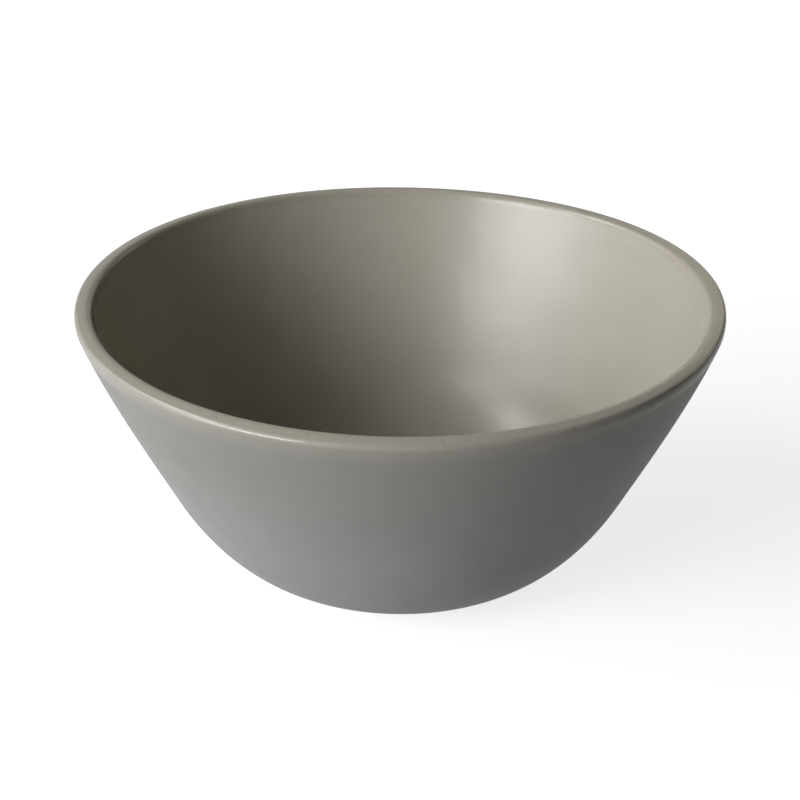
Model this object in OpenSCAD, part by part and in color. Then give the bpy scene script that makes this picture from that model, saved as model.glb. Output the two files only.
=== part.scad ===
// Flared stoneware bowl: one fired clay body with three fused coats of glaze.
// The whole bowl is turned about the upright axis and stands on its foot ring.

/* [Bowl] */
// Diameter over the widest part of the lip, glaze included
bowl_d = 156; // [140:1:176]
// Height from the table to the top of the lip
bowl_h = 71; // [64:1:84]

/* [Wall] */
// Thickness of the wall under the lip, both coats of glaze included
wall_t = 4.5; // [4:0.1:6]
// Diameter over the glaze where the flared wall turns into the belly
belly_d = 113; // [100:1:122]
// Height of that turn above the table
belly_h = 26; // [20:1:32]
// Thickness of the wall at that turn, both coats of glaze included
belly_t = 4.9; // [4.2:0.1:6]
// How many degrees the flared wall bends between the belly and the lip
wall_bend = 6; // [2:1:12]
// Thickness of the floor at the middle, both coats of glaze included
floor_t = 5; // [4.4:0.1:7]
// Slope of the underside where it runs in to the foot, in degrees from level
under_slope = 11; // [6:1:16]

/* [Lip] */
// Radius of the soft inner edge of the lip
lip_inner_r = 1.8; // [1.3:0.1:2]
// Radius of the tighter outer edge of the lip
lip_outer_r = 1.3; // [1:0.1:1.6]
// How many degrees the crown of the lip falls outwards
lip_slope = 18; // [8:1:26]
// Length of outer wall below the lip that the inside glaze also covers
lip_lap = 2; // [1:0.5:5]

/* [Foot] */
// Outer diameter of the foot ring
foot_d = 57; // [50:1:62]
// Width of the foot ring
foot_w = 3.6; // [3:0.1:5]
// Height above the table of the line where the outside glaze is wiped off
glaze_line_h = 2.3; // [2:0.05:3]
// Radius of the hollow corner between the foot ring and the underside
foot_fillet_r = 0.9; // [0.6:0.1:1.2]
// Radius of the two edges that the foot ring stands on
foot_edge_r = 0.6; // [0.3:0.1:0.7]
// Bare clay left beside the foot ring when the glaze is wiped back
wipe_w = 0.2; // [0.1:0.1:1.5]
// Height of the recess inside the foot ring at its edge
recess_h = 2.2; // [2:0.1:3]
// How far the recess rises from its edge to its middle
recess_rise = 0.4; // [0.1:0.1:1]

/* [Glaze] */
// Thickness of each coat of glaze
glaze_t = 0.35; // [0.2:0.05:0.6]

/* [Hidden] */

// Flats that stand for a full turn of the bowl
turn_steps = 180;
// Straight steps that each round stretch of the outline is drawn in
wall_steps = 8;
belly_steps = 14;
floor_steps = 14;
edge_steps = 6;
recess_steps = 5;

// Lengths of the curve handles, as shares of the stretch that they belong to
wall_handle_share = 1 / 3;
belly_handle_share = 1 / 3;
foot_handle_share = 1 / 3;
inner_belly_handle_share = 0.34;
floor_handle_share = 0.6;

// Angles of the wall, in degrees from upright
wall_lean = atan2((bowl_d - belly_d) / 2, bowl_h - belly_h);
top_lean = wall_lean - wall_bend / 2;
belly_lean = wall_lean + wall_bend / 2;

// The lip is two round edges joined by a sloping crown
lip_rise = (sin(lip_slope) * (wall_t - lip_outer_r - lip_inner_r)
            - (lip_inner_r - lip_outer_r) * cos(top_lean)) / cos(lip_slope - top_lean);
lip_span = (wall_t - lip_outer_r - lip_inner_r - lip_rise * sin(top_lean)) / cos(top_lean);
inner_edge_z = bowl_h - lip_inner_r;
outer_edge_z = inner_edge_z - lip_rise;
outer_edge_x = bowl_d / 2 - lip_outer_r;
inner_edge_x = outer_edge_x - lip_span;

// Places on the glazed surface, as distance from the axis and height
wall_top = [outer_edge_x, outer_edge_z] + lip_outer_r * outwards(top_lean);
lap_end = wall_top - lip_lap * upwards(top_lean);
belly = [belly_d / 2, belly_h];
glaze_line = [foot_d / 2 + foot_fillet_r + wipe_w, glaze_line_h];
inner_wall_top = [inner_edge_x, inner_edge_z] - lip_inner_r * outwards(top_lean);
inner_belly = belly - belly_t * outwards(belly_lean);
floor_middle = [0, recess_h + recess_rise + floor_t];

// Places on the bare clay of the foot
under_clay = glaze_line + glaze_t * upwards(under_slope);
foot_corner_x = foot_d / 2 + foot_fillet_r;
foot_corner_z = under_clay[1] - (under_clay[0] - foot_corner_x) * tan(under_slope)
                - foot_fillet_r / cos(under_slope);
recess_r = foot_d / 2 - foot_w;
recess_glaze_r = recess_r - foot_fillet_r - wipe_w;

// One step up a wall that leans by an angle, and one step out of its outer face
function upwards(lean) = [sin(lean), cos(lean)];
function outwards(lean) = [cos(lean), -sin(lean)];

// A cubic curve through handles p, and its heading, at the share t of its length
function curve_point(p, t) = pow(1 - t, 3) * p[0] + 3 * pow(1 - t, 2) * t * p[1]
                             + 3 * (1 - t) * pow(t, 2) * p[2] + pow(t, 3) * p[3];
function curve_heading(p, t) = pow(1 - t, 2) * (p[1] - p[0]) + 2 * (1 - t) * t * (p[2] - p[1])
                               + pow(t, 2) * (p[3] - p[2]);

// The four handles of a curve from one place and heading to another
function handles(from, out, to, in, first_share, last_share) =
    let (reach = norm(to - from))
    [from, from + first_share * reach * out, to - last_share * reach * in, to];

// A place on the surface is kept with the direction that faces out of the glaze there
function facing(heading) = [-heading[1], heading[0]] / norm(heading);
function curve(p, steps) =
    [for (i = [0 : steps]) [curve_point(p, i / steps), facing(curve_heading(p, i / steps))]];
function round_edge(middle, radius, from, to) =
    [for (i = [0 : edge_steps])
        let (out = [cos(from + (to - from) * i / edge_steps), sin(from + (to - from) * i / edge_steps)])
        [middle + radius * out, out]];

// The glazed face, and the clay one coat of glaze below it
function glazed(places) = [for (p = places) p[0]];
function clay_under(places) = [for (p = places) p[0] - glaze_t * p[1]];
function backwards(points) = [for (i = [len(points) - 1 : -1 : 0]) points[i]];

// Inside: from the middle of the floor, up the wall, over the lip and down to the end of the lap
function inside_face() = concat(
    curve(handles(floor_middle, [1, 0], inner_belly, upwards(belly_lean),
                  floor_handle_share, inner_belly_handle_share), floor_steps),
    curve(handles(inner_belly, upwards(belly_lean), inner_wall_top, upwards(top_lean),
                  wall_handle_share, wall_handle_share), wall_steps),
    round_edge([inner_edge_x, inner_edge_z], lip_inner_r, 180 - top_lean, 90 - lip_slope),
    round_edge([outer_edge_x, outer_edge_z], lip_outer_r, 90 - lip_slope, -top_lean),
    [[lap_end, outwards(top_lean)]]);

// Outside: from the end of the lap, down the flared wall and under the belly to the wiped line
function outside_face() = concat(
    curve(handles(lap_end, -upwards(top_lean), belly, -upwards(belly_lean),
                  wall_handle_share, wall_handle_share), wall_steps),
    curve(handles(belly, -upwards(belly_lean), glaze_line, -outwards(-under_slope),
                  belly_handle_share, foot_handle_share), belly_steps));

// Recess: a shallow dome from its wiped line in to the axis
function recess_face() =
    let (dome_r = (pow(recess_glaze_r, 2) + pow(recess_rise, 2)) / (2 * recess_rise),
         sweep = asin(recess_glaze_r / dome_r))
    [for (i = [0 : recess_steps])
        let (a = sweep * (1 - i / recess_steps))
        [[dome_r * sin(a), recess_h + recess_rise - dome_r * (1 - cos(a))], [-sin(a), -cos(a)]]];

// Bare clay of the foot ring, from the outer wiped line round to the recess
function foot_face() =
    let (ceiling = clay_under(recess_face())[0],
         recess_corner = [recess_r - foot_fillet_r, ceiling[1] - foot_fillet_r],
         outer_edge = [foot_d / 2 - foot_edge_r, foot_edge_r],
         inner_edge = [recess_r + foot_edge_r, foot_edge_r])
    concat(
        glazed(round_edge([foot_corner_x, foot_corner_z], foot_fillet_r, 90 + under_slope, 180)),
        glazed(round_edge(outer_edge, foot_edge_r, 0, -90)),
        glazed(round_edge(inner_edge, foot_edge_r, -90, -180)),
        glazed(round_edge(recess_corner, foot_fillet_r, 0, 90)));

// A closed coat of glaze between its own face and the clay
module coat(places) {
    rotate_extrude($fn = turn_steps)
        polygon(concat(glazed(places), backwards(clay_under(places))));
}

// Fired stoneware: wall, floor and foot ring in one piece of clay
module clay_body() {
    color([0.66, 0.60, 0.51])
        rotate_extrude($fn = turn_steps)
            polygon(concat(clay_under(inside_face()), clay_under(outside_face()),
                           foot_face(), clay_under(recess_face())));
}

// Warm grey glaze poured inside and run over the lip
module inside_glaze() {
    color([0.58, 0.56, 0.51]) coat(inside_face());
}

// Cooler grey glaze on the outside, from under the lip down to the wiped line
module outside_glaze() {
    color([0.55, 0.54, 0.52]) coat(outside_face());
}

// Patch of the same glaze in the recess of the foot
module foot_recess_glaze() {
    color([0.52, 0.51, 0.48]) coat(recess_face());
}

clay_body();
inside_glaze();
outside_glaze();
foot_recess_glaze();
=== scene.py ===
import math

import bpy
import numpy as np
from mathutils import Matrix


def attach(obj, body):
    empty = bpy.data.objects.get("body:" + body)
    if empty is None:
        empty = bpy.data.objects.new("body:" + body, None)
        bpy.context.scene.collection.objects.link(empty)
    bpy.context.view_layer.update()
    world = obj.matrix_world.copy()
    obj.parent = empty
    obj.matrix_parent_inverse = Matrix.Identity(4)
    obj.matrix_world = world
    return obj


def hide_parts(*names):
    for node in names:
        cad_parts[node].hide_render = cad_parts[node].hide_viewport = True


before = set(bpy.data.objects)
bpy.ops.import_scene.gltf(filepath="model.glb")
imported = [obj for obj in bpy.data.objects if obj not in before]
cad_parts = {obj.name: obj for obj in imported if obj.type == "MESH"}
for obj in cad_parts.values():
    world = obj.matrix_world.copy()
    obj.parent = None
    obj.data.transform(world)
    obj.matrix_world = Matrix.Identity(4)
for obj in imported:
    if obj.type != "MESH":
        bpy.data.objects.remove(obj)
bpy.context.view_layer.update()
bpy.context.scene.view_settings.view_transform = "Standard"

# The camera stands in front of the bowl and looks down into it as the photograph was
# taken: 23 degrees above level, through a long lens 58 cm from the middle of the mouth.
camera_place = (0.0, -0.5378, 0.3012)
camera_down = math.radians(25.60)
camera_tilt = math.radians(0.606)
camera_data = bpy.data.cameras.new("camera")
camera_data.lens = 109.98
camera_data.sensor_width = 36.0
camera_data.clip_start, camera_data.clip_end = 0.01, 20.0
camera = bpy.data.objects.new("camera", camera_data)
camera.matrix_world = (Matrix.Translation(camera_place)
                       @ Matrix.Rotation(math.pi / 2 - camera_down, 4, "X")
                       @ Matrix.Rotation(camera_tilt, 4, "Z"))
bpy.context.scene.collection.objects.link(camera)
bpy.context.scene.camera = camera

# The clay body: wall, belly, floor and foot ring are one lump of buff stoneware,
# turned on the wheel and fired. Glaze hides all of it but the foot ring, which is
# left bare and rubbed smooth where it stands.
mm = 0.001

# Sizes in mm and angles in degrees, as in the solids
bowl_r, bowl_h = 78.0, 71.0
wall_t, belly_t, floor_t = 4.5, 4.9, 5.0
belly_r, belly_h = 56.5, 26.0
wall_bend = 6.0
lip_inner_r, lip_outer_r, lip_slope, lip_lap = 1.8, 1.3, 18.0, 2.0
foot_r, foot_w, foot_edge_r, foot_corner_r = 28.5, 3.6, 0.6, 0.9
under_slope, glaze_line_h, wipe_w = 11.0, 2.3, 0.2
recess_h, recess_rise = 2.2, 0.4
glaze_t = 0.35
wall_lean = math.degrees(math.atan2(bowl_r - belly_r, bowl_h - belly_h))
top_lean, belly_lean = wall_lean - wall_bend / 2, wall_lean + wall_bend / 2

# Only here: the lip's crown is rounder, and the inside leans out more at the belly.
# The potter's fingers leave a soft, barely raised ring where the inside wall turns into
# the belly. The lean and the ring are guesses that break the sheen where the photograph does.
crown_slope = 19.0
inner_lean = belly_lean + 4.0
finger_ring_h, finger_ring_w, finger_ring_rise = 28.5, 4.0, 0.20

# Straight steps in a full turn of the bowl and in each stretch of its outline
turn_steps = 288
floor_steps, inner_wall_steps, crown_steps, lip_steps = 48, 36, 26, 14
outer_wall_steps, belly_steps, foot_steps, recess_steps = 40, 44, 8, 24


def upwards(lean):
    # One step up a wall that leans out by so many degrees
    return np.array([math.sin(math.radians(lean)), math.cos(math.radians(lean))])


def outwards(lean):
    # One step out of the outer face of that wall
    return np.array([math.cos(math.radians(lean)), -math.sin(math.radians(lean))])


def sweep(start, leaving, end, arriving, first_share, last_share, steps):
    # A fair curve from one place and heading to another, with the way out of the glaze
    reach = np.linalg.norm(end - start)
    a, b = start + first_share * reach * leaving, end - last_share * reach * arriving
    t = np.linspace(0, 1, steps + 1)[:, None]
    point = (1 - t) ** 3 * start + 3 * (1 - t) ** 2 * t * a + 3 * (1 - t) * t ** 2 * b + t ** 3 * end
    along = (1 - t) ** 2 * (a - start) + 2 * (1 - t) * t * (b - a) + t ** 2 * (end - b)
    along /= np.linalg.norm(along, axis=1)[:, None]
    return np.hstack([point, np.stack([-along[:, 1], along[:, 0]], axis=1)])


def round_edge(middle, radius, first, last, steps):
    # Part of a circle between two angles, with the way out of it
    a = np.radians(np.linspace(first, last, steps + 1))
    out = np.stack([np.cos(a), np.sin(a)], axis=1)
    return np.hstack([middle + radius * out, out])


def joined(*stretches):
    # Stretches that follow each other share their end point, which is kept once
    return np.vstack([stretches[0]] + [s[1:] for s in stretches[1:]])


def sunk(face, depth):
    # The face that lies so many mm below another
    return face[:, :2] - depth * face[:, 2:]


def rolled(face, roll):
    # The same face, whose last stretch rolls down to the clay, as glaze does at a wiped edge
    end, back = face[-1], face[-2, :2] - face[-1, :2]
    back /= np.linalg.norm(back)
    turn = np.radians([90, 75, 60, 45, 30, 18, 8])[:, None]
    edge = end[:2] + roll * (1 - np.cos(turn)) * back - glaze_t * (1 - np.sin(turn)) * end[2:]
    return np.vstack([face[:-1, :2], edge])


# The lip's two round edges, and where the coats begin and end
top_turn, lip_turn = math.radians(top_lean), math.radians(lip_slope)
lip_flat = wall_t - lip_outer_r - lip_inner_r
lip_rise = ((math.sin(lip_turn) * lip_flat - (lip_inner_r - lip_outer_r) * math.cos(top_turn))
            / math.cos(lip_turn - top_turn))
lip_span = (lip_flat - lip_rise * math.sin(top_turn)) / math.cos(top_turn)
inner_edge = np.array([bowl_r - lip_outer_r - lip_span, bowl_h - lip_inner_r])
outer_edge = inner_edge + np.array([lip_span, -lip_rise])
lap_end = outer_edge + lip_outer_r * outwards(top_lean) - lip_lap * upwards(top_lean)
belly = np.array([belly_r, belly_h])
inner_belly = belly - belly_t * outwards(belly_lean)
inner_wall_top = inner_edge - lip_inner_r * outwards(top_lean)
floor_middle = np.array([0.0, recess_h + recess_rise + floor_t])
glaze_line = np.array([foot_r + foot_corner_r + wipe_w, glaze_line_h])

# The inside: out along the floor, up the wall, over the lip and down to the end of the lap
crown_end = outer_edge + lip_outer_r * upwards(crown_slope)
inside_face = np.vstack([
    joined(sweep(floor_middle, outwards(0), inner_belly, upwards(inner_lean), 0.6, 0.34, floor_steps),
           sweep(inner_belly, upwards(inner_lean), inner_wall_top, upwards(top_lean),
                 1 / 3, 1 / 3, inner_wall_steps),
           sweep(inner_wall_top, upwards(top_lean), crown_end, outwards(crown_slope),
                 0.50, 0.52, crown_steps),
           round_edge(outer_edge, lip_outer_r, 90 - crown_slope, -top_lean, lip_steps)),
    [[*lap_end, *outwards(top_lean)]]])
ring_rise = finger_ring_rise * np.exp(-((inside_face[:, 1] - finger_ring_h) / finger_ring_w) ** 2)
inside_face[:, :2] += ring_rise[:, None] * inside_face[:, 2:]

# The outside: down the wall and in under the belly to the wiped line
outside_face = joined(
    sweep(lap_end, -upwards(top_lean), belly, -upwards(belly_lean), 1 / 3, 1 / 3, outer_wall_steps),
    sweep(belly, -upwards(belly_lean), glaze_line, -outwards(-under_slope), 1 / 3, 1 / 3, belly_steps))

# The recess: a shallow dome from its wiped line in to the middle
recess_r = foot_r - foot_w - foot_corner_r - wipe_w
dome_r = (recess_r ** 2 + recess_rise ** 2) / (2 * recess_rise)
dome = np.linspace(math.asin(recess_r / dome_r), 0, recess_steps + 1)
recess_face = np.stack([dome_r * np.sin(dome), recess_h + recess_rise - dome_r * (1 - np.cos(dome)),
                        -np.sin(dome), -np.cos(dome)], axis=1)

# The bare foot ring, from the outer wiped line round to the recess
under_turn = math.radians(under_slope)
under_clay = sunk(outside_face, glaze_t)[-1]
corner_x = foot_r + foot_corner_r
corner_z = (under_clay[1] - (under_clay[0] - corner_x) * math.tan(under_turn)
            - foot_corner_r / math.cos(under_turn))
ceiling_h = sunk(recess_face, glaze_t)[0, 1]
inner_foot_r = foot_r - foot_w
foot_face = np.vstack([
    round_edge(np.array([corner_x, corner_z]), foot_corner_r, 90 + under_slope, 180, foot_steps),
    round_edge(np.array([foot_r - foot_edge_r, foot_edge_r]), foot_edge_r, 0, -90, foot_steps),
    round_edge(np.array([inner_foot_r + foot_edge_r, foot_edge_r]), foot_edge_r, -90, -180, foot_steps),
    round_edge(np.array([inner_foot_r - foot_corner_r, ceiling_h - foot_corner_r]),
               foot_corner_r, 0, 90, foot_steps)])[:, :2]


def off_the_wheel(angle, r, z):
    # The rim dries up to 0.8 mm out of round and up to 0.5 mm low, less so lower down. Its
    # waves were fitted to the outline in the photograph.
    height = z / bowl_h
    pull = height ** 2 * (-0.20 + 0.18 * np.sin(2 * angle) - 0.08 * np.cos(3 * angle)
                          + 0.34 * np.sin(3 * angle) - 0.20 * np.cos(4 * angle)
                          + 0.14 * np.sin(4 * angle))
    sag = height ** 4 * (-0.34 + 0.08 * np.cos(2 * angle) - 0.14 * np.sin(2 * angle))
    off_axis = np.clip(r / 30.0, 0, 1)
    # From 68.6 mm up, the crown falls outwards less at the two sides than in front
    near = np.clip((height - 0.966) / 0.018, 0, 1)
    tip = 0.10 * (1 + np.cos(2 * angle)) + 0.06 * np.cos(angle)
    roll = tip * near ** 2 * (3 - 2 * near) * (r - bowl_r + 2.9)
    return r + off_axis * pull, z + off_axis * (sag + roll)


def turned(name, outline, wander=None):
    # Turns an outline in mm about the axis; an outline that starts and ends on the
    # axis makes one solid, and any other is a closed loop that makes a ring
    solid = outline[0][0] < 1e-9
    rim = outline[1:-1] if solid else outline
    angle = np.linspace(0, 2 * math.pi, turn_steps, endpoint=False)
    a, r = np.meshgrid(angle, rim[:, 0], indexing="ij")
    z = np.meshgrid(angle, rim[:, 1], indexing="ij")[1]
    if wander is not None:
        r, z = wander(a, r, z)
    r, z = off_the_wheel(a, r, z)
    points = np.stack([r * np.cos(a), r * np.sin(a), z], axis=2).reshape(-1, 3)
    count = len(rim)
    at = np.arange(turn_steps * count).reshape(turn_steps, count)
    after = np.roll(at, -1, axis=0)
    if solid:
        quads = np.stack([at[:, :-1], after[:, :-1], after[:, 1:], at[:, 1:]], axis=2)
        points = np.vstack([points, [0, 0, outline[0][1]], [0, 0, outline[-1][1]]])
        first, last = len(points) - 2, len(points) - 1
        faces = quads.reshape(-1, 4).tolist()
        faces += [(first, int(after[i, 0]), int(at[i, 0])) for i in range(turn_steps)]
        faces += [(last, int(at[i, -1]), int(after[i, -1])) for i in range(turn_steps)]
    else:
        across, after_across = np.roll(at, -1, axis=1), np.roll(after, -1, axis=1)
        faces = np.stack([at, after, after_across, across], axis=2).reshape(-1, 4).tolist()
    mesh = bpy.data.meshes.new(name)
    mesh.from_pydata((points * mm).tolist(), [], faces)
    mesh.validate()
    mesh.shade_smooth()
    mesh.set_sharp_from_angle(angle=math.radians(50))
    piece = bpy.data.objects.new(name, mesh)
    bpy.context.scene.collection.objects.link(piece)
    return piece


def shader(name, roughness, specular):
    # A new surface with its node tree and its shader, and the place that its patterns follow
    surface = bpy.data.materials.new(name)
    surface.use_nodes = True
    gloss = surface.node_tree.nodes["Principled BSDF"]
    gloss.inputs["Roughness"].default_value = roughness
    gloss.inputs["Specular IOR Level"].default_value = specular
    place = surface.node_tree.nodes.new("ShaderNodeTexCoord").outputs["Object"]
    return surface, surface.node_tree, gloss, place


def reckoned(tree, operation, first, second):
    # Two values put together, each a number or the output of a node
    node = tree.nodes.new("ShaderNodeMath")
    node.operation = operation
    for value, socket in ((first, node.inputs[0]), (second, node.inputs[1])):
        if isinstance(value, float):
            socket.default_value = value
        else:
            tree.links.new(value, socket)
    return node.outputs["Value"]


def ramp(tree, value, start, finish, first=0.0, second=1.0, ease="LINEAR"):
    # Goes from the first number to the second while the value goes from start to finish
    climb = tree.nodes.new("ShaderNodeMapRange")
    climb.interpolation_type = ease
    climb.inputs["From Min"].default_value, climb.inputs["From Max"].default_value = start, finish
    climb.inputs["To Min"].default_value, climb.inputs["To Max"].default_value = first, second
    tree.links.new(value, climb.inputs["Value"])
    return climb.outputs["Result"]


def mottle(tree, place, size, detail, first=0.0, second=1.0):
    # A cloudy pattern whose patches are about so many mm across, between two numbers; the
    # noise itself seldom leaves 0.3 to 0.7
    noise = tree.nodes.new("ShaderNodeTexNoise")
    noise.inputs["Scale"].default_value = 1 / (size * mm)
    noise.inputs["Detail"].default_value = detail
    tree.links.new(place, noise.inputs["Vector"])
    return ramp(tree, noise.outputs["Fac"], 0.3, 0.7, first, second)


def specks(tree, place, spacing, size, share):
    # Round specks: 1 at the middle of a speck, 0 between, and only a share of them kept
    cells = tree.nodes.new("ShaderNodeTexVoronoi")
    cells.inputs["Scale"].default_value = 1 / (spacing * mm)
    tree.links.new(place, cells.inputs["Vector"])
    spot = ramp(tree, cells.outputs["Distance"], 0.0, size / spacing, 1.0, 0.0)
    apart = tree.nodes.new("ShaderNodeSeparateColor")
    tree.links.new(cells.outputs["Color"], apart.inputs["Color"])
    return reckoned(tree, "MULTIPLY", spot, reckoned(tree, "LESS_THAN", apart.outputs["Red"], share))


def tinted(tree, share, first, second):
    # A colour between two others; each may be a colour or the output of another tint
    mix = tree.nodes.new("ShaderNodeMix")
    mix.data_type = "RGBA"
    tree.links.new(share, mix.inputs["Factor"])
    for value, socket in ((first, "A"), (second, "B")):
        end = [s for s in mix.inputs if s.name == socket and s.type == "RGBA"][0]
        if isinstance(value, tuple):
            end.default_value = (*value, 1.0)
        else:
            tree.links.new(value, end)
    return [s for s in mix.outputs if s.type == "RGBA"][0]


def relief(tree, height, depth, below=None):
    # Turns a pattern into hills or pits of so many mm, over an earlier relief if given
    bump = tree.nodes.new("ShaderNodeBump")
    bump.inputs["Distance"].default_value = depth * mm
    tree.links.new(height, bump.inputs["Height"])
    if below is not None:
        tree.links.new(below, bump.inputs["Normal"])
    return bump.outputs["Normal"]


def height_band(tree, place, start, finish, wobble=0.0, patch=8.0):
    # 0 at one height in mm and 1 at another, above or below it, along a line that wavers
    # by so many mm in patches of so many mm
    apart = tree.nodes.new("ShaderNodeSeparateXYZ")
    tree.links.new(place, apart.inputs["Vector"])
    height = apart.outputs["Z"]
    if wobble:
        height = reckoned(tree, "ADD", height, mottle(tree, place, patch, 2.0, -wobble * mm, wobble * mm))
    return ramp(tree, height, start * mm, finish * mm, ease="SMOOTHSTEP")


buff, sand, iron = (0.46, 0.37, 0.27), (0.55, 0.47, 0.36), (0.13, 0.08, 0.05)
rubbed_clay = (0.34, 0.29, 0.23)
stoneware, tree, gloss, place = shader("bare stoneware", roughness=0.86, specular=0.3)
colour = tinted(tree, mottle(tree, place, size=9.0, detail=3.0), buff, sand)
colour = tinted(tree, specks(tree, place, spacing=1.6, size=0.32, share=0.30), colour, iron)
rubbed = height_band(tree, place, start=0.45, finish=0.10, wobble=0.15, patch=2.5)
colour = tinted(tree, rubbed, colour, rubbed_clay)
tree.links.new(colour, gloss.inputs["Base Color"])
tree.links.new(ramp(tree, rubbed, 0.0, 1.0, 0.88, 0.62), gloss.inputs["Roughness"])
rings = tree.nodes.new("ShaderNodeTexWave")
rings.wave_type, rings.rings_direction = "RINGS", "Z"
rings.inputs["Scale"].default_value, rings.inputs["Distortion"].default_value = 450.0, 0.6
tree.links.new(place, rings.inputs["Vector"])
tool_lines = relief(tree, rings.outputs["Fac"], depth=0.05)
grit = relief(tree, mottle(tree, place, size=0.6, detail=4.0), depth=0.10, below=tool_lines)
tree.links.new(grit, gloss.inputs["Normal"])

clay_outline = np.vstack([sunk(inside_face, glaze_t), sunk(outside_face, glaze_t)[1:],
                          foot_face[1:], sunk(recess_face, glaze_t)[1:]])
clay = turned("turned_clay", clay_outline)
clay.data.materials.append(stoneware)
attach(clay, "root")
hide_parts("clay_body")

# The inside glaze: a grey satin coat, poured in and tipped out. It runs over the lip,
# where it thins and breaks to a warmer, lighter tone, which is partly painted warm light on the
# upturned lip. It stops a little way down the outside, where the cooler outside coat has already tinted
# it.
grey, grey_light = (0.299, 0.283, 0.236), (0.315, 0.299, 0.250)
# The outside coat's tones: the lower pair is lighter and cooler as painted bounce light from the white
# floor, the upper pair darker as painted shade
cool, cool_light = (0.257, 0.256, 0.242), (0.270, 0.270, 0.255)
shaded_high, shaded_high_pale = (0.240, 0.233, 0.215), (0.251, 0.245, 0.226)
# Warm tones of the lip and the lap: partly the thin glaze, partly painted warm light on the upturned lip
lip_warm_and_painted_light, lap_warm_and_painted_light = (0.318, 0.297, 0.241), (0.300, 0.281, 0.244)
lip_brown, pinhole = (0.225, 0.200, 0.150), (0.11, 0.095, 0.075)


def over_the_lip(tree, place):
    # 0 on the inner side of the wall and 1 on the outer side, changing across the shoulder:
    # the wall leans out evenly, so its two sides differ in how far out they meet the table
    level = tree.nodes.new("ShaderNodeVectorMath")
    level.operation = "MULTIPLY"
    level.inputs[1].default_value = (1.0, 1.0, 0.0)
    tree.links.new(place, level.inputs[0])
    radius = tree.nodes.new("ShaderNodeVectorMath")
    radius.operation = "LENGTH"
    tree.links.new(level.outputs["Vector"], radius.inputs[0])
    apart = tree.nodes.new("ShaderNodeSeparateXYZ")
    tree.links.new(place, apart.inputs["Vector"])
    lean_out = reckoned(tree, "MULTIPLY", apart.outputs["Z"], -math.tan(top_turn))
    reach = reckoned(tree, "ADD", lean_out, radius.outputs["Value"])
    outer_reach = lap_end[0] - lap_end[1] * math.tan(top_turn)
    return ramp(tree, reach, (outer_reach - 2.2) * mm, (outer_reach - 0.6) * mm)


def below_the_lip(tree, place):
    # How much of the outside coat's tint shows: none at the shoulder, all of it further down
    return height_band(tree, place, start=bowl_h - 3.0, finish=bowl_h - 7.2, wobble=0.6)


def cool_tint_and_painted_bounce(tree, place):
    # The dipped coat's cloudy tone: lighter and cooler low down and darker and warmer high up,
    # painted light that stands for the white floor's bounce on the lower wall
    cloud = mottle(tree, place, size=16.0, detail=3.0)
    return tinted(tree, height_band(tree, place, start=24.0, finish=58.0, wobble=3.0, patch=20.0),
                  tinted(tree, cloud, cool, cool_light), tinted(tree, cloud, shaded_high, shaded_high_pale))


inside_satin, tree, gloss, place = shader("warm grey satin glaze", roughness=0.30, specular=0.4)
outer_side = over_the_lip(tree, place)
near_lip = height_band(tree, place, start=bowl_h - 3.0, finish=bowl_h - 1.0)

# Its tones, from the bowl's inside up to the lip and down over the lap
colour = tinted(tree, mottle(tree, place, size=14.0, detail=3.0), grey, grey_light)
# The warm crown and lap tones are partly the thin glaze and partly painted light, tinting the lip's
# upturned faces warmer and lighter than the wall
warmed_and_painted_light = height_band(tree, place, start=bowl_h - 2.8, finish=bowl_h - 0.8, wobble=0.3)
colour = tinted(tree, warmed_and_painted_light, colour, lip_warm_and_painted_light)
colour = tinted(tree, outer_side, colour, lap_warm_and_painted_light)
lapped = reckoned(tree, "MULTIPLY", outer_side, below_the_lip(tree, place))
colour = tinted(tree, lapped, colour, cool_tint_and_painted_bounce(tree, place))

# The fine brown break on the crown and under the shoulder, and a few pinholes
broken = reckoned(tree, "MULTIPLY", near_lip, mottle(tree, place, 0.5, 3.0, 0.0, 0.34))
colour = tinted(tree, broken, colour, lip_brown)
edge_top = height_band(tree, place, start=bowl_h - 1.5, finish=bowl_h - 2.4, wobble=0.2)
edge_foot = height_band(tree, place, start=bowl_h - 4.4, finish=bowl_h - 3.2, wobble=0.4)
thin_edge = reckoned(tree, "MULTIPLY", reckoned(tree, "MULTIPLY", edge_top, edge_foot), outer_side)
thin_edge = reckoned(tree, "MULTIPLY", thin_edge, mottle(tree, place, 3.0, 3.0, 0.0, 0.20))
colour = tinted(tree, thin_edge, colour, lip_brown)
pits = reckoned(tree, "MULTIPLY", specks(tree, place, spacing=2.2, size=0.34, share=0.30), near_lip)
colour = tinted(tree, pits, colour, pinhole)
tree.links.new(colour, gloss.inputs["Base Color"])

# Glossier on the lip and down the lap, where the coat ran thin and smooth
lap_shine = reckoned(tree, "MULTIPLY", outer_side,
                     height_band(tree, place, start=bowl_h - 4.8, finish=bowl_h - 3.0))
shine = reckoned(tree, "MAXIMUM", near_lip, lap_shine)
tree.links.new(ramp(tree, shine, 0.0, 1.0, 0.30, 0.14), gloss.inputs["Roughness"])
fine = relief(tree, mottle(tree, place, size=0.9, detail=2.0), depth=0.006)
fine = relief(tree, mottle(tree, place, size=11.0, detail=2.0), depth=0.06, below=fine)
peel = reckoned(tree, "MULTIPLY", mottle(tree, place, size=0.6, detail=3.0), near_lip)
tree.links.new(relief(tree, peel, depth=0.020, below=fine), gloss.inputs["Normal"])

inside = turned("inside_coat", np.vstack([inside_face[:, :2], sunk(inside_face, glaze_t)[::-1]]))
inside.data.materials.append(inside_satin)
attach(inside, "root")
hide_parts("inside_glaze")

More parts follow.
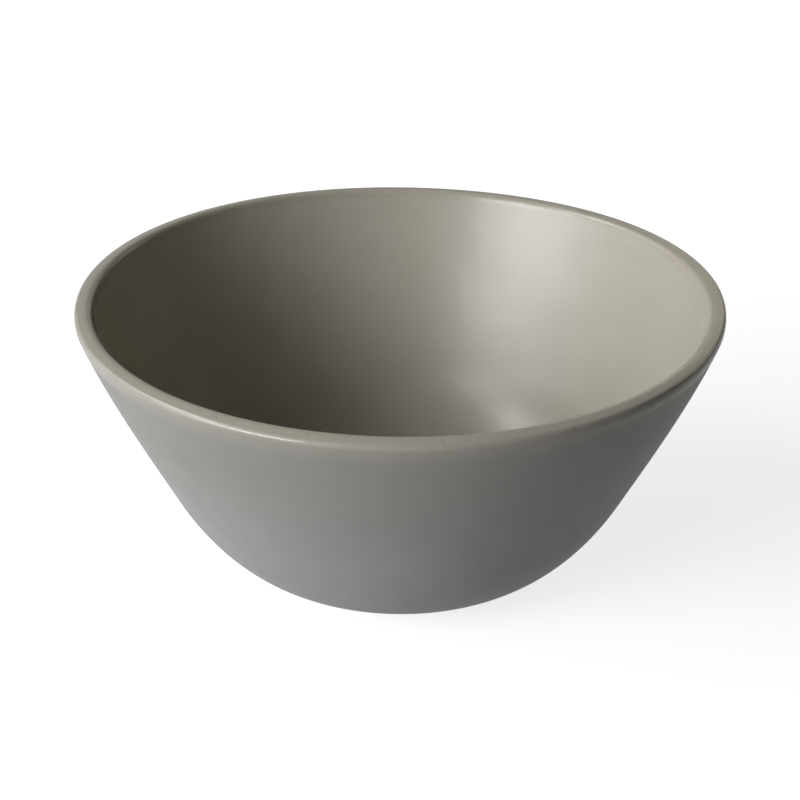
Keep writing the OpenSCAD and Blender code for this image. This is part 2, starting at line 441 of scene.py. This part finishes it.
# The outside glaze: a cooler, drier coat of the same glaze, dipped from under the lip
# to the belly's foot and wiped back to a clean line above the foot ring. Its cool tone, lighter
# low down, is partly painted bounce light from the white floor. Its top edge takes the warm
# tone of the glaze that runs over the lip, which is partly painted light too.
outside_satin, tree, gloss, place = shader("cool grey satin glaze", roughness=0.42, specular=0.4)
colour = tinted(tree, below_the_lip(tree, place), lap_warm_and_painted_light, cool_tint_and_painted_bounce(tree, place))
tree.links.new(colour, gloss.inputs["Base Color"])
tree.links.new(mottle(tree, place, 5.0, 2.0, 0.39, 0.44), gloss.inputs["Roughness"])
fine = relief(tree, mottle(tree, place, size=0.9, detail=2.0), depth=0.006)
tree.links.new(fine, gloss.inputs["Normal"])


def wiped_outside(angle, r, z):
    # The sponge leaves the edge up to 0.4 mm out from the foot, and not evenly
    slip = 0.20 + 0.12 * np.sin(3 * angle + 1.0) + 0.07 * np.sin(7 * angle) + 0.04 * np.sin(16 * angle)
    near = np.clip((foot_r + 6.0 - r) / 4.0, 0, 1) * (z < 8.0)
    return r + near * slip, z + near * slip * math.tan(under_turn)


outside_outline = np.vstack([rolled(outside_face, roll=0.5), sunk(outside_face, glaze_t)[::-1]])
outside = turned("outside_coat", outside_outline, wiped_outside)
outside.data.materials.append(outside_satin)
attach(outside, "root")
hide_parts("outside_glaze")

# The foot glaze: a patch of the same glaze in the shallow recess of the foot, wiped
# clear of the ring. The buff clay shows through it in clouds.
foot_satin, tree, gloss, place = shader("thin foot glaze", roughness=0.45, specular=0.5)
tree.links.new(tinted(tree, mottle(tree, place, size=6.0, detail=3.0), cool, buff),
               gloss.inputs["Base Color"])
fine = relief(tree, mottle(tree, place, size=0.9, detail=2.0), depth=0.010)
tree.links.new(fine, gloss.inputs["Normal"])


def wiped_recess(angle, r, z):
    # Its edge is drawn in by up to 0.8 mm, and not evenly
    slip = 0.45 + 0.25 * np.sin(2 * angle) + 0.12 * np.sin(5 * angle + 2.0) + 0.05 * np.sin(13 * angle)
    return r - slip * np.clip((r - recess_r + 5.0) / 5.0, 0, 1), z


patch_outline = np.vstack([sunk(recess_face, glaze_t)[::-1], rolled(recess_face[::-1], roll=0.6)[::-1]])
patch = turned("foot_coat", patch_outline, wiped_recess)
patch.data.materials.append(foot_satin)
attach(patch, "root")
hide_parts("foot_recess_glaze")

# The studio: the soft panes of a wide window on the left and a little towards the camera,
# a thin pane above it that draws the bright line along the lip, a faint warm wall behind on
# the right, and a white paper floor that keeps the bowl's own shadow.
daylight, window_frame, warm_wall = (0.99, 1.0, 1.04), (1.0, 0.96, 0.87), (1.0, 0.90, 0.58)
lamp_distance = 1.8

# Name, bearing in degrees from the +X side towards the back and degrees above level, width and
# height of the pane in metres, how bright it makes a white sheet that faces it, and tone. The
# strengths were tuned against the photograph.
for name, bearing, height, width, tall, level, tone in (
        ("window", 218, 20, 1.17, 0.77, 0.50, daylight),
        ("window_wide", 211, 16, 1.45, 0.90, 0.26, daylight),
        ("window_low", 202, 13, 1.17, 0.70, 0.17, daylight),
        ("window_side", 227, 23, 0.80, 0.52, 0.21, daylight),
        ("window_top", 207, 40, 1.40, 0.17, 0.165, window_frame),
        ("window_edge", 244, 31, 0.44, 0.40, 0.035, daylight),
        ("skylight", 180, 44, 0.90, 0.51, 0.27, daylight),
        ("side_wall", 165, 32, 1.30, 0.96, 0.19, daylight),
        ("back_light", 40, 25, 0.70, 0.70, 0.055, warm_wall),
        ("back_glow", 73, 20, 0.80, 0.60, 0.03, warm_wall)):
    lamp_data = bpy.data.lights.new(name, "AREA")
    lamp_data.shape, lamp_data.size, lamp_data.size_y = "RECTANGLE", width, tall
    lamp_data.energy = level * (math.pi * lamp_distance) ** 2
    lamp_data.color = tone
    lamp = bpy.data.objects.new(name, lamp_data)
    lamp.matrix_world = (Matrix.Rotation(math.radians(bearing + 90), 4, "Z")
                         @ Matrix.Rotation(math.radians(90 - height), 4, "X")
                         @ Matrix.Translation((0, 0, lamp_distance)))
    bpy.context.scene.collection.objects.link(lamp)


def seen_and_mirrored(tree, straight, mirrored):
    # The first strength to the camera and through glass, and the second in a reflection
    ray = tree.nodes.new("ShaderNodeLightPath")
    direct = reckoned(tree, "MAXIMUM", ray.outputs["Is Camera Ray"], ray.outputs["Is Transmission Ray"])
    return reckoned(tree, "ADD", reckoned(tree, "MULTIPLY", direct, straight),
                    reckoned(tree, "MULTIPLY", ray.outputs["Is Glossy Ray"], mirrored))


# The glaze in the photograph mirrors little white, so both whites are dimmer in it than to the eye
world = bpy.data.worlds.new("studio")
world.use_nodes = True
bpy.context.scene.world = world
sky = world.node_tree
backdrop = sky.nodes["Background"]
backdrop.inputs["Color"].default_value = (1.0, 1.0, 1.0, 1.0)
sky.links.new(seen_and_mirrored(sky, 1.0, 0.4), backdrop.inputs["Strength"])
sky.links.new(backdrop.outputs["Background"], sky.nodes["World Output"].inputs["Surface"])

floor_mesh = bpy.data.meshes.new("floor")
floor_mesh.from_pydata([(-3, -3, 0), (3, -3, 0), (3, 3, 0), (-3, 3, 0)], [], [(0, 1, 2, 3)])
floor = bpy.data.objects.new("floor", floor_mesh)
bpy.context.scene.collection.objects.link(floor)
paper, page, sheet, spot = shader("white paper", roughness=0.9, specular=0.0)
sheet.inputs["Base Color"].default_value = (0.43, 0.43, 0.43, 1.0)
# The lamps light the paper near the bowl, and further out its own white takes over
away = page.nodes.new("ShaderNodeVectorMath")
away.operation = "LENGTH"
page.links.new(spot, away.inputs[0])
near_to_far = ramp(page, away.outputs["Value"], 0.3, 1.2, 0.80, 1.0)
glow = page.nodes.new("ShaderNodeEmission")
page.links.new(seen_and_mirrored(page, near_to_far, 0.36), glow.inputs["Strength"])
both = page.nodes.new("ShaderNodeAddShader")
page.links.new(sheet.outputs["BSDF"], both.inputs[0])
page.links.new(glow.outputs["Emission"], both.inputs[1])
page.links.new(both.outputs["Shader"], page.nodes["Material Output"].inputs["Surface"])
floor_mesh.materials.append(paper)
